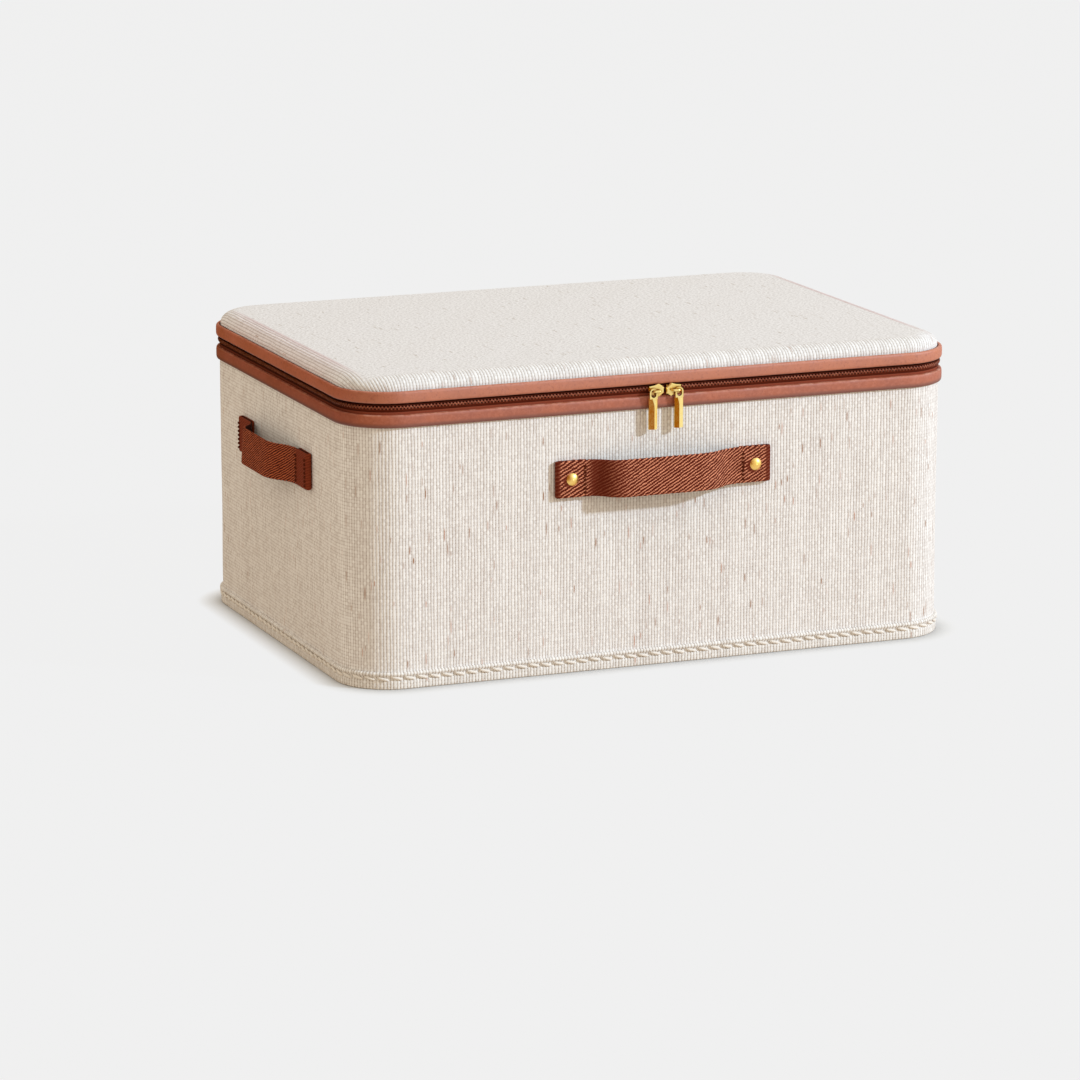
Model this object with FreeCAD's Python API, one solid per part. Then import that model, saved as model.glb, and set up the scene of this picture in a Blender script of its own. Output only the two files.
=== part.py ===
import FreeCAD, Part
import math
import os

# Zippered fabric storage box. It stands on z = 0 with its front at -Y and its hinge at +Y.
# Sizes are in millimetres. An inset is measured inwards from the outer face of the body wall.

# Body
body_width = 352.0
body_depth = 248.0
body_height = 148.7
corner_radius = 29.0

# Layers of wall, base and lid
fabric_thickness = 0.8
board_thickness = 2.4
lining_thickness = 0.5
layer_gap = 0.1
board_joint = 0.4

# Binding sewn round the bottom edge
binding_height = 9.5
binding_thickness = 1.1
binding_turn_in = 8.0
binding_edge_radius = 0.7

# Bands on both sides of the zip
zip_opening = 6.1
lower_band_height = 6.1
upper_band_height = 7.0
band_thickness = 1.9
band_edge_radius = 0.75
cover_under_band = 1.4

# Zip
tape_thickness = 0.6
coil_thickness = 1.0
coil_height = 1.6
coil_parting_gap = 1.0
coil_edge_radius = 0.3
zip_run_past_corner = 12.0
hinge_end_gap = 0.3
stop_length = 4.0
stop_thickness = 0.6

# Lid
lid_rise = 6.6
lid_step = 0.7
shoulder_radius = 6.0
foam_thickness = 4.0
lid_cover_lap = 0.4

# Handles
strap_width = 20.1
strap_thickness = 1.7
strap_stand_off = 13.0
fold_gap = 0.2
fold_length = 2.2
tab_length = 17.4
steep_bend = 60.0
gentle_bend = 36.0
front_handle_length = 126.0
side_handle_length = 115.4
handle_height = 107.0

# Rivets of the front handle
rivet_inset = 9.3
rivet_head_radius = 3.4
rivet_head_height = 1.4
rivet_post_radius = 1.4
rivet_cap_radius = 4.2
rivet_cap_height = 1.1
rivet_clearance = 0.1

# Sliders
slider_gap = 1.2
slider_length = 8.8
slider_height = 7.2
slider_nose_height = 2.8
slider_tail_height = 4.6
slider_shoulder_run = 3.0
slider_waist_run = 5.4
slider_plate_thickness = 1.6
slider_bevel = 0.5
slider_clearance = 0.3
guide_clearance = 0.55
guide_inset = 0.6
inner_plate_thickness = 1.0
neck_height = 0.6
neck_length = 3.0

# Slider bridges and pulls
bridge_span = 3.9
bridge_radius = 0.65
bridge_bend_radius = 1.1
pull_spacing = 15.0
pull_clearance = 0.1
pull_length = 22.3
pull_width = 4.8
pull_thickness = 2.4
pull_edge_thickness = 1.1
pull_ridge_shift = 0.25
pull_bevel_length = 4.0
eye_thickness = 1.4
eye_wall = 0.75
eye_width = 3.0
eye_height = 4.2

# Heights and insets worked out from the sizes above
base_board_low = fabric_thickness + layer_gap
base_board_top = base_board_low + board_thickness
base_lining_low = base_board_top + layer_gap
base_lining_top = base_lining_low + lining_thickness
lid_low = body_height + zip_opening
parting = body_height + zip_opening / 2
band_low = body_height - lower_band_height
band_top = lid_low + upper_band_height
lid_top = band_top + lid_rise
band_face = layer_gap + band_thickness
board_inset = fabric_thickness + layer_gap
lining_inset = board_inset + board_thickness + layer_gap
lining_face = lining_inset + lining_thickness
hinge_half_width = body_width / 2 - corner_radius - zip_run_past_corner
lid_layer_inset = lid_step + fabric_thickness + 2 * layer_gap
lid_layer_radius = shoulder_radius - fabric_thickness - 2 * layer_gap
foam_top = lid_top - fabric_thickness - 2 * layer_gap
foam_low = foam_top - foam_thickness
lid_board_top = foam_low - layer_gap
lid_board_low = lid_board_top - board_thickness
lid_lining_inset = lid_layer_inset + board_thickness + layer_gap
front_face = -body_depth / 2
tab_depth = 2 * strap_thickness + fold_gap

# Cutting shapes run past what they cut by this much
overrun = board_thickness


def vector(x, y, z):
    return FreeCAD.Vector(x, y, z)


def edges_at(shape, axis, place, tolerance=1e-6):
    """Edges that lie wholly at one place along the axis X, Y or Z."""
    def reach(edge):
        ends = (getattr(edge.BoundBox, axis + "Min"), getattr(edge.BoundBox, axis + "Max"))
        return max(abs(end - place) for end in ends)
    return [e for e in shape.Edges if reach(e) < tolerance]


def block(inset, low, high, top_radius=0.0, bottom_radius=0.0):
    """Solid on the rounded plan of the box, with its top and bottom edges rounded."""
    half_x = body_width / 2 - inset
    half_y = body_depth / 2 - inset
    shape = Part.makeBox(2 * half_x, 2 * half_y, high - low, vector(-half_x, -half_y, low))
    upright = [e for e in shape.Edges if e.BoundBox.ZLength > (high - low) / 2]
    shape = shape.makeFillet(corner_radius - inset, upright)
    if top_radius:
        shape = shape.makeFillet(top_radius, edges_at(shape, "Z", high))
    if bottom_radius:
        shape = shape.makeFillet(bottom_radius, edges_at(shape, "Z", low))
    return shape


def ring(outer, inner, low, high, top_radius=0.0, bottom_radius=0.0):
    """Wall of the box between two insets, with its outer edges rounded."""
    hollow = block(inner, low - overrun, high + overrun)
    return block(outer, low, high, top_radius, bottom_radius).cut(hollow)


def back_stretch(half_width, low, high):
    """Space over the middle of the back wall, from the inside to well past the outside."""
    depth = corner_radius + band_face
    corner = vector(-half_width, body_depth / 2 - depth, low)
    return Part.makeBox(2 * half_width, 2 * depth, high - low, corner)


def post_hole(x, radius, outer, inner):
    """Round hole or post square to the front wall, between two insets."""
    start = vector(x, front_face + outer, handle_height)
    return Part.makeCylinder(radius, inner - outer, start, vector(0, 1, 0))


def with_rivet_holes(shape):
    radius = rivet_post_radius + rivet_clearance
    for x in rivet_places:
        shape = shape.cut(post_hole(x, radius, -strap_stand_off, lining_face + overrun))
    return shape


def save(name, shape):
    shape.exportStep(os.path.join("parts", name + ".step"))
    solids = shape.Solids
    print(name, len(solids), "solid(s)", round(sum(s.Volume for s in solids), 1), "mm3", shape.isValid())


def body_layers():
    """Base, wall and bottom binding."""
    save("base_cover", block(binding_turn_in + layer_gap, 0, fabric_thickness))
    save("base_board", block(board_inset, base_board_low, base_board_top))
    save("base_lining", block(lining_inset, base_lining_low, base_lining_top))

    outer = -(layer_gap + binding_thickness)
    binding = block(outer, 0, binding_height, binding_edge_radius, binding_edge_radius)
    binding = binding.cut(block(-layer_gap, fabric_thickness, binding_height + overrun))
    save("bottom_binding", binding.cut(block(binding_turn_in, -overrun, fabric_thickness + overrun)))

    cover_top = band_low + cover_under_band
    save("wall_cover", with_rivet_holes(ring(0, fabric_thickness, base_board_low, cover_top)))

    board = ring(board_inset, board_inset + board_thickness, base_lining_low, body_height - layer_gap)
    joint = back_stretch(board_joint / 2, 0, lid_top)
    save("wall_board", with_rivet_holes(board.cut(joint)))

    lining = ring(lining_inset, lining_face, base_lining_top + layer_gap, body_height - layer_gap)
    save("wall_lining", with_rivet_holes(lining))


def zip_and_bands():
    """Leather-look bands, the two halves of the zip and the hinge strip behind the bands."""
    edge = band_edge_radius
    save("lower_band", ring(-band_face, -layer_gap, band_low, body_height, edge, edge))
    save("upper_band", ring(-band_face, -layer_gap, lid_low, band_top, edge, edge))

    low_end = band_low + cover_under_band + layer_gap
    high_end = band_top - band_edge_radius
    lower_edge = parting - coil_parting_gap / 2
    upper_edge = parting + coil_parting_gap / 2
    back = back_stretch(hinge_half_width, low_end - overrun, high_end + overrun)
    save("lower_zip_tape", ring(0, tape_thickness, low_end, lower_edge).cut(back))
    save("upper_zip_tape", ring(0, tape_thickness, upper_edge, high_end).cut(back))

    coil_face = -(layer_gap / 2 + coil_thickness)
    for name, low in (("lower_zip_coil", lower_edge - coil_height), ("upper_zip_coil", upper_edge)):
        high = low + coil_height
        coil = ring(coil_face, -layer_gap / 2, low, high, coil_edge_radius, coil_edge_radius)
        save(name, coil.cut(back))

    strip = ring(0, tape_thickness, low_end, high_end)
    save("hinge_strip", strip.common(back_stretch(hinge_half_width - hinge_end_gap, low_end, high_end)))

    stops = []
    for side in (-1, 1):
        end = hinge_half_width - hinge_end_gap
        start = min(side * end, side * (end - stop_length))
        y = body_depth / 2 + layer_gap / 2
        size = (stop_length, coil_thickness + stop_thickness, coil_height + stop_thickness)
        stop = Part.makeBox(*size, vector(start, y, lower_edge - size[2]))
        stops.append(stop.makeFillet(stop_thickness / 2, stop.Edges))
    save("zip_end_stops", Part.makeCompound(stops))


def lid_layers():
    """Lid frame, board, foam pad, cover and lining."""
    cover = block(lid_step, lid_low + lid_cover_lap, lid_top, shoulder_radius)
    inside = block(lid_step + fabric_thickness, lid_low, lid_top - fabric_thickness,
                   shoulder_radius - fabric_thickness)
    save("lid_cover", cover.cut(inside))

    form = block(lid_layer_inset, lid_low, foam_top, lid_layer_radius)
    save("lid_foam", form.cut(block(0, lid_low - overrun, foam_low)))
    save("lid_board", block(lid_layer_inset, lid_board_low, lid_board_top))

    frame_top = lid_board_low - layer_gap
    frame = ring(lid_layer_inset, lid_layer_inset + board_thickness, lid_low + layer_gap, frame_top)
    save("lid_frame", frame.cut(back_stretch(board_joint / 2, 0, lid_top)))

    lining = block(lid_lining_inset, lid_low + layer_gap, frame_top)
    tray = block(lid_lining_inset + lining_thickness, lid_low, frame_top - lining_thickness)
    save("lid_lining", lining.cut(tray))


def bend_points(x, direction, low, rise, angle):
    """Five points on the two equal tangent arcs that lift the strap's centre line off the wall."""
    turn = math.radians(angle)
    radius = rise / (2 * (1 - math.cos(turn)))
    along = radius * math.sin(turn)
    along_half = radius * math.sin(turn / 2)
    up_half = radius * (1 - math.cos(turn / 2))
    steps = ((0, 0), (along_half, up_half), (along, rise / 2), (2 * along - along_half, rise - up_half),
             (2 * along, rise))
    return [vector(x + direction * step, -(low + height), 0) for step, height in steps]


def strap_arch(inner, low, rise):
    """Raised part of a strap: steep at -X, gentle at +X, straight between."""
    steep = bend_points(-inner, 1, low, rise, steep_bend)
    gentle = bend_points(inner, -1, low, rise, gentle_bend)[::-1]
    edges = [Part.Arc(*steep[0:3]).toShape(), Part.Arc(*steep[2:5]).toShape()]
    edges.append(Part.makeLine(steep[4], gentle[0]))
    edges += [Part.Arc(*gentle[0:3]).toShape(), Part.Arc(*gentle[2:5]).toShape()]
    half_width = strap_width / 2
    half_thickness = strap_thickness / 2
    corners = ((-half_thickness, -half_width), (half_thickness, -half_width),
               (half_thickness, half_width), (-half_thickness, half_width))
    section = [vector(-inner, -low + y, z) for y, z in corners]
    return Part.Wire(edges).makePipeShell([Part.makePolygon(section + section[:1])], True, False)


def strap_tab(inner, outer):
    """Strap end turned under itself: two layers joined by the round fold at the outer end."""
    low = -strap_width / 2
    fold_centre = vector(outer - tab_depth / 2, -layer_gap - tab_depth / 2, low)
    fold = Part.makeCylinder(tab_depth / 2, strap_width, fold_centre)
    flat_start = vector(inner, -layer_gap - tab_depth, low)
    tab = Part.makeBox(fold_centre.x - inner, tab_depth, strap_width, flat_start).fuse(fold)
    slit_start = vector(inner - overrun, -layer_gap - strap_thickness - fold_gap, low - overrun)
    slit_length = outer - fold_length - slit_start.x
    return tab.cut(Part.makeBox(slit_length, fold_gap, strap_width + 2 * overrun, slit_start))


def handle(length):
    """Whole strap along X at the handles' height, with the wall's outer face at y = 0."""
    inner = length / 2 - tab_length
    low = layer_gap + tab_depth - strap_thickness / 2
    rise = strap_stand_off - strap_thickness / 2 - low
    right_tab = strap_tab(inner, length / 2)
    left_tab = right_tab.mirror(vector(0, 0, 0), vector(1, 0, 0))
    strap = strap_arch(inner, low, rise).fuse([left_tab, right_tab]).removeSplitter()
    strap.translate(vector(0, 0, handle_height))
    return strap


def dome(radius, height, x, y, direction):
    """Spherical cap that swells from y in the direction given, square to the front wall."""
    sphere = (radius ** 2 + height ** 2) / (2 * height)
    half_turn = math.asin(radius / sphere) / 2
    middle_height = height - sphere * (1 - math.cos(half_turn))
    rim = vector(x + radius, y, handle_height)
    middle = vector(x + sphere * math.sin(half_turn), y + direction * middle_height, handle_height)
    tip = vector(x, y + direction * height, handle_height)
    centre = vector(x, y, handle_height)
    profile = Part.Wire([Part.Arc(rim, middle, tip).toShape(), Part.makeLine(tip, centre),
                         Part.makeLine(centre, rim)])
    return Part.Face(profile).revolve(centre, vector(0, 1, 0), 360)


def handles():
    """Riveted front handle, its rivets, and the sewn handles of both sides."""
    front = handle(front_handle_length)
    front.translate(vector(0, front_face, 0))
    save("front_handle", with_rivet_holes(front))

    tab_face = -(layer_gap + tab_depth)
    rivets = []
    caps = []
    for x in rivet_places:
        head = dome(rivet_head_radius, rivet_head_height, x, front_face + tab_face, -1)
        post = post_hole(x, rivet_post_radius, tab_face, lining_face)
        rivets.append(head.fuse(post).removeSplitter())
        caps.append(dome(rivet_cap_radius, rivet_cap_height, x, front_face + lining_face, 1))
    save("front_handle_rivets", Part.makeCompound(rivets))
    save("rivet_back_caps", Part.makeCompound(caps))

    left = handle(side_handle_length)
    left.rotate(vector(0, 0, 0), vector(0, 0, 1), -90)
    left.translate(vector(-body_width / 2, 0, 0))
    save("left_handle", left)
    save("right_handle", left.mirror(vector(0, 0, 0), vector(1, 0, 0)))


def upright_plate(points, outer, thickness):
    """Flat plate in front of the front wall: x and height from the parting line, set back from outer."""
    corners = [vector(x, front_face - outer, parting + z) for x, z in points]
    return Part.Face(Part.makePolygon(corners + corners[:1])).extrude(vector(0, thickness, 0))


def slider():
    """Right slider with its nose towards the middle: front plate, guide, neck and inner plate."""
    nose = slider_gap / 2
    plate_face = band_face + slider_clearance + slider_plate_thickness
    half = ((nose, slider_nose_height / 2), (nose + slider_shoulder_run, slider_height / 2),
            (nose + slider_waist_run, slider_tail_height / 2 + slider_bevel),
            (nose + slider_length, slider_tail_height / 2))
    outline = list(half) + [(x, -z) for x, z in reversed(half)]
    plate = upright_plate(outline, plate_face, slider_plate_thickness)
    plate = plate.makeChamfer(slider_bevel, edges_at(plate, "Y", front_face - plate_face))

    start = nose + guide_inset
    length = slider_length - 2 * guide_inset
    half_height = zip_opening / 2 - guide_clearance
    coil_front = layer_gap / 2 + coil_thickness + slider_clearance / 2
    guide_back = front_face - coil_front
    guide_depth = band_face + slider_clearance - coil_front
    guide = Part.makeBox(length, guide_depth, 2 * half_height,
                         vector(start, guide_back - guide_depth, parting - half_height))
    inner_face = front_face + tape_thickness + slider_clearance
    neck = Part.makeBox(neck_length, inner_face - guide_back, neck_height,
                        vector(start + guide_inset, guide_back, parting - neck_height / 2))
    inner = Part.makeBox(length, inner_plate_thickness, 2 * half_height,
                         vector(start, inner_face, parting - half_height))
    return plate.fuse([guide, neck, inner]).removeSplitter()


def bridge():
    """Round wire arch along X on the right slider's front plate."""
    plate_face = band_face + slider_clearance + slider_plate_thickness
    height = eye_thickness + 2 * slider_clearance + bridge_radius
    near = pull_spacing / 2 - bridge_span
    far = pull_spacing / 2
    base = front_face - plate_face
    top = base - height
    bend = bridge_bend_radius
    part_bend = bend * (1 - math.cos(math.pi / 4))
    points = ((near, base), (near, top + bend), (near + part_bend, top + part_bend), (near + bend, top),
              (far - bend, top), (far - part_bend, top + part_bend), (far, top + bend), (far, base))
    path = [vector(x, y, parting) for x, y in points]
    edges = [Part.makeLine(path[0], path[1]), Part.Arc(path[1], path[2], path[3]).toShape(),
             Part.makeLine(path[3], path[4]), Part.Arc(path[4], path[5], path[6]).toShape(),
             Part.makeLine(path[6], path[7])]
    section = Part.Wire(Part.makeCircle(bridge_radius, path[0], vector(0, 1, 0)))
    return Part.Wire(edges).makePipeShell([section], True, False)


def pull():
    """Right pull: a flat eye round the bridge's outer leg, and a ridged bar that hangs from it."""
    x = pull_spacing / 2
    middle = band_face + 2 * slider_clearance + slider_plate_thickness + eye_thickness / 2
    outer = middle + eye_thickness / 2
    hole_top = bridge_radius + pull_clearance
    hole_radius = eye_width / 2
    upper = hole_top - hole_radius
    lower = hole_top - eye_height + hole_radius
    eye_low = lower - hole_radius - eye_wall
    eye_half = hole_radius + eye_wall

    def disc(radius, z, depth, face):
        return Part.makeCylinder(radius, depth, vector(x, front_face - face, parting + z), vector(0, 1, 0))

    sides = ((x - eye_half, upper), (x + eye_half, upper), (x + eye_half, eye_low), (x - eye_half, eye_low))
    eye = upright_plate(sides, outer, eye_thickness).fuse(disc(eye_half, upper, eye_thickness, outer))
    slot_sides = ((x - hole_radius, upper), (x + hole_radius, upper), (x + hole_radius, lower),
                  (x - hole_radius, lower))
    slot_face = outer + overrun
    slot_depth = eye_thickness + 2 * overrun
    slot = upright_plate(slot_sides, slot_face, slot_depth)
    slot = slot.fuse([disc(hole_radius, z, slot_depth, slot_face) for z in (upper, lower)])

    bar_top = lower - hole_radius - eye_wall / 2
    bar_low = hole_top + eye_wall - pull_length
    back = front_face - middle + pull_thickness / 2
    half_width = pull_width / 2
    section = ((-half_width, 0), (half_width, 0), (half_width, -pull_edge_thickness),
               (-pull_ridge_shift, -pull_thickness), (-half_width, -pull_edge_thickness))
    corners = [vector(x + across, back + out, parting + bar_top) for across, out in section]
    bar = Part.Face(Part.makePolygon(corners + corners[:1])).extrude(vector(0, 0, bar_low - bar_top))
    ridge_y = back - pull_thickness
    top_z = parting + bar_top
    bevel_z = top_z - pull_bevel_length
    side = x - pull_width
    wedge = [vector(side, ridge_y - overrun, top_z), vector(side, front_face - outer, top_z),
             vector(side, ridge_y, bevel_z), vector(side, ridge_y - overrun, bevel_z)]
    bevel = Part.Face(Part.makePolygon(wedge + wedge[:1])).extrude(vector(2 * pull_width, 0, 0))
    return eye.cut(slot).fuse(bar.cut(bevel)).removeSplitter()


def zip_hardware():
    """Sliders, bridges and pulls, the left ones mirrored from the right ones."""
    for name, shape in (("slider", slider()), ("slider_bridge", bridge()), ("pull", pull())):
        save("right_" + name, shape)
        save("left_" + name, shape.mirror(vector(0, 0, 0), vector(1, 0, 0)))


rivet_place = front_handle_length / 2 - rivet_inset
rivet_places = (-rivet_place, rivet_place)

os.makedirs("parts", exist_ok=True)
body_layers()
zip_and_bands()
lid_layers()
handles()
zip_hardware()
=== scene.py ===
import bmesh
import bpy
import math
import random
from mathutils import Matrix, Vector

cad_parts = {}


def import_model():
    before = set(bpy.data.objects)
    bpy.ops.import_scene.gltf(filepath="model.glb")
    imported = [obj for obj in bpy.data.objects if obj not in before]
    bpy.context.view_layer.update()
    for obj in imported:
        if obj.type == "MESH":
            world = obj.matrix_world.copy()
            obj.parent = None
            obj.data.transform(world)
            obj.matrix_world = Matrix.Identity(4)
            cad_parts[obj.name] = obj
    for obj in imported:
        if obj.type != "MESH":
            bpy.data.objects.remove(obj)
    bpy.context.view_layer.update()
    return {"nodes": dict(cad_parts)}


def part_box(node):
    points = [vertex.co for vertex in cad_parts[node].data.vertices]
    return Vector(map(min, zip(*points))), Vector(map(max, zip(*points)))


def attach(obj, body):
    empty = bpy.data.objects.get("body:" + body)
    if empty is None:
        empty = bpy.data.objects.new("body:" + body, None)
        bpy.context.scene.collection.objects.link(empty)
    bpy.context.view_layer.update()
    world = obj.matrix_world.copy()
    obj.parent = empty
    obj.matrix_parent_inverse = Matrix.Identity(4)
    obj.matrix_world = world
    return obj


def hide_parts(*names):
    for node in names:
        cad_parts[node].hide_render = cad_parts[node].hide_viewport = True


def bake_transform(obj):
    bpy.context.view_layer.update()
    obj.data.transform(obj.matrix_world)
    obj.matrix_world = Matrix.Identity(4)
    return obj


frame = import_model()

# Lengths are in metres. MM turns millimetres into metres.
MM = 0.001
SEED = 8
rng = random.Random(SEED)

# Names of the cloth map and of the shares that meshes store for their materials
FABRIC_MAP = "fabric_map"
FLAT_SHARE = "flat_share"
SIDE_SHARE = "side_share"
# Share where straps are plain and take painted shade.
PLAIN_AND_SHADE_SHARE = "plain_and_shade_share"

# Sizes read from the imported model
wall_low, wall_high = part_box("wall_cover")
band_low_corner, band_low_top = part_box("lower_band")
band_high_low, band_high_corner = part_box("upper_band")
lid_low_corner, lid_high_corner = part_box("lid_cover")
hinge_low, hinge_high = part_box("hinge_strip")
tape_low_start, tape_low_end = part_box("lower_zip_tape")
tape_high_start, tape_high_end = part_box("upper_zip_tape")
binding_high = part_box("bottom_binding")[1]
coil_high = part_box("lower_zip_coil")[1]

half_x = wall_high.x
half_y = wall_high.y
band_face = band_high_corner.x - half_x
hinge_half = hinge_high.x
lid_inset = half_x - lid_high_corner.x
teeth_face = coil_high.x - half_x
parting = (band_low_top.z + band_high_low.z) / 2

# Driving sizes of the box
corner_radius = 29 * MM
fabric_thickness = 0.8 * MM
lining_thickness = 0.5 * MM
tape_thickness = 0.6 * MM
band_gap = 0.1 * MM
band_fullness = 4.4
lower_band_drop = 0.9 * MM
upper_band_cut = 0.6 * MM
lid_shoulder = (10.5 * MM, 6.4 * MM)
shoulder_fullness = 2.05
lid_crown = 0.3 * MM
wall_wave_depth = 0.22 * MM
lid_wave_depth = 0.25 * MM
stitch_height = 6.0 * MM
stitch_pitch = 7.1 * MM
hem_turn_in = 8.0 * MM
hem_edge = 1.0 * MM
hem_roll = 1.15 * MM
hem_groove = 0.6 * MM

# Straps
strap_width = 20.1 * MM
strap_thickness = 1.7 * MM
strap_stand_off = 13.0 * MM
strap_grid = 0.32 * MM
front_tilt = 1.3 * MM
side_tilt = 0.8 * MM
fold_gap = 0.2 * MM
tab_length = 17.4 * MM
seam_inset = 0.7 * MM
rivet_inset = 9.3 * MM
steep_bend = 50.0
gentle_bend = 36.0

# Twill: rib pitch and slope, rib scales of a strap's two tabs, and of the side straps
twill_pitch = 1.55 * MM
twill_slope = 29.0
rib_height = 0.22 * MM
tab_rib_scales = (0.85, 0.96)
side_fineness = 1.25

# Coarse cloth: yarn pitches, how uneven they are, and the shares of beads and level yarns
weave_pitch = 1.77 * MM
weft_pitch = 1.82 * MM
weave_wander = 1.3 * MM
over_share = 0.16
weft_share = 0.05
side_weft = 0.36
warp_round_height = 0.30 * MM
slub_cell = 10 * MM

# Zip
tooth_pitch = 1.9 * MM
tooth_width = 0.95 * MM
tooth_root = 0.85 * MM
tooth_reach = 0.25 * MM
bead_radius = 0.42 * MM
zip_seam = parting + 0.8 * MM
# Painted shade of the zip on the short sides.
zip_short_side_shade = (0.50, 0.44, 0.38)

# Studio
floor_shadow = 15 * MM
backdrop_tone = 0.871


def unit(value):
    """The value kept between 0 and 1."""
    return max(0.0, min(1.0, value))


class Signal:
    """Output of a shader node, for use in plain formulas."""

    def __init__(self, socket):
        self.socket = socket
        self.tree = socket.id_data

    def __add__(self, other):
        return calc("ADD", self, other)

    def __sub__(self, other):
        return calc("SUBTRACT", self, other)

    def __rsub__(self, other):
        return calc("SUBTRACT", other, self)

    def __mul__(self, other):
        return calc("MULTIPLY", self, other)

    def __truediv__(self, other):
        return calc("DIVIDE", self, other)

    __rmul__ = __mul__


def feed(socket, value):
    """Sets an input socket to a plain value or colour, or links a signal to it."""
    if isinstance(value, Signal):
        value.tree.links.new(value.socket, socket)
    elif socket.type == "RGBA":
        socket.default_value = (*value, 1.0)
    else:
        socket.default_value = value


def add_node(tree, kind, values=(), **settings):
    """New node with these settings, whose inputs get the values in order, or by name or number."""
    node = tree.nodes.new("ShaderNode" + kind)
    for name, setting in settings.items():
        setattr(node, name, setting)
    for key, value in values.items() if isinstance(values, dict) else enumerate(values):
        feed(node.inputs[key], value)
    return node


def signal(tree, kind, values=(), output=0, **settings):
    """One output of a new node."""
    return Signal(add_node(tree, kind, values, **settings).outputs[output])


def tree_of(values):
    """Node tree of the first signal among the values."""
    return next(value.tree for value in values if isinstance(value, Signal))


def calc(operation, *values):
    return signal(tree_of(values), "Math", values, operation=operation)


def clamped(result):
    """The result of a calculation, kept between 0 and 1."""
    result.socket.node.use_clamp = True
    return result


def remap(value, low, high, new_low=0.0, new_high=1.0, smooth=True):
    kind = "SMOOTHSTEP" if smooth else "LINEAR"
    return signal(value.tree, "MapRange", (value, low, high, new_low, new_high), interpolation_type=kind)


def mix_colour(share, first, second, blend="MIX"):
    values = {0: share, 6: first, 7: second}
    return signal(share.tree, "Mix", values, 2, data_type="RGBA", blend_type=blend)


def shade_short_sides(tree, colour, tint):
    """Colour multiplied by a painted shade tint where the mesh faces a short side."""
    return mix_colour(mesh_share(tree, SIDE_SHARE), colour, tint, "MULTIPLY")


def pair(x, y, z=0.0):
    return signal(tree_of((x, y, z)), "CombineXYZ", (x, y, z))


def fabric_place(tree):
    """Across and along on the cloth, in metres, from the mesh's own map."""
    parts = add_node(tree, "SeparateXYZ", (signal(tree, "UVMap", uv_map=FABRIC_MAP),))
    return Signal(parts.outputs[0]), Signal(parts.outputs[1])


def object_place(tree):
    return signal(tree, "TexCoord", output="Object")


def mesh_share(tree, name):
    """Share stored on the mesh."""
    return signal(tree, "Attribute", output="Fac", attribute_name=name)


def noise(place, scale, detail=2.0, roughness=0.5):
    values = {"Vector": place, "Scale": scale, "Detail": detail, "Roughness": roughness}
    return signal(place.tree, "TexNoise", values)


def cell_distance(place, scale):
    return signal(place.tree, "TexVoronoi", {"Vector": place, "Scale": scale}, "Distance")


def chance(x, y):
    """Random value of the whole-numbered place x, y."""
    place = pair(x, y)
    return signal(place.tree, "TexWhiteNoise", {"Vector": place}, noise_dimensions="2D")


def new_material(name):
    """Material with its node tree."""
    material = bpy.data.materials.new(name)
    material.use_nodes = True
    return material, material.node_tree


def dress(material, colour, roughness, relief, depth, strength, specular=0.5, **more):
    """Feeds the material's shader, with bumps as deep as depth, and returns the material."""
    tree = material.node_tree
    bump = signal(tree, "Bump", {"Strength": strength, "Distance": depth, "Height": relief})
    values = {"Base Color": colour, "Roughness": roughness, "Specular IOR Level": specular, "Normal": bump}
    for name, value in (values | more).items():
        feed(tree.nodes["Principled BSDF"].inputs[name], value)
    return material


def plain_weave(across, along, warp_pitch, weft_pitch, wander):
    """Upright and level yarn profiles from 0 to 1, their over-and-under lift, and both yarns' numbers."""
    drift = noise(pair(across, along * 0.15), 260.0) - 0.5
    drift_up = noise(pair(across * 0.15, along), 260.0) - 0.5
    a = (drift * wander + across) / warp_pitch
    b = (drift_up * wander + along) / weft_pitch
    warp = calc("ROUND", a)
    weft = calc("ROUND", b)
    warp_round = calc("COSINE", (a - warp) * math.pi)
    weft_round = calc("COSINE", (b - weft) * math.pi)
    lift = calc("COSINE", (b - warp) * math.pi)
    return warp_round, weft_round, lift, warp, weft


def fine_weave(across, along, pitch, wander):
    """Height of a fine plain weave."""
    warp_round, weft_round, lift = plain_weave(across, along, pitch, pitch, wander)[:3]
    return clamped(calc("MAXIMUM", warp_round * 0.7 + lift * 0.25, weft_round * 0.7 - lift * 0.25))


def slub_marks(along, warp, warp_round, yarn_tone, slub_share):
    """Strength of short slubs on single warp yarns, and the share of pinkish ones."""
    run = yarn_tone * 7.0 + along / slub_cell
    cell = calc("FLOOR", run)
    luck = chance(warp, cell)
    from_middle = calc("ABSOLUTE", run - cell - 0.5)
    reach = remap(luck, 1.0 - slub_share, 1.0, 0.2, 0.5, smooth=False)
    body = remap(clamped(1.0 - from_middle / reach), 0.0, 0.7)
    chosen = calc("GREATER_THAN", luck, 1.0 - slub_share)
    depth = remap(calc("POWER", chance(cell, warp), 1.3), 0.0, 1.0, 0.35, 1.1, smooth=False)
    pinkish = calc("GREATER_THAN", chance(cell, warp + 0.5), 0.6)
    return body * chosen * remap(warp_round, 0.7, 1.0) * depth, pinkish


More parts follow.
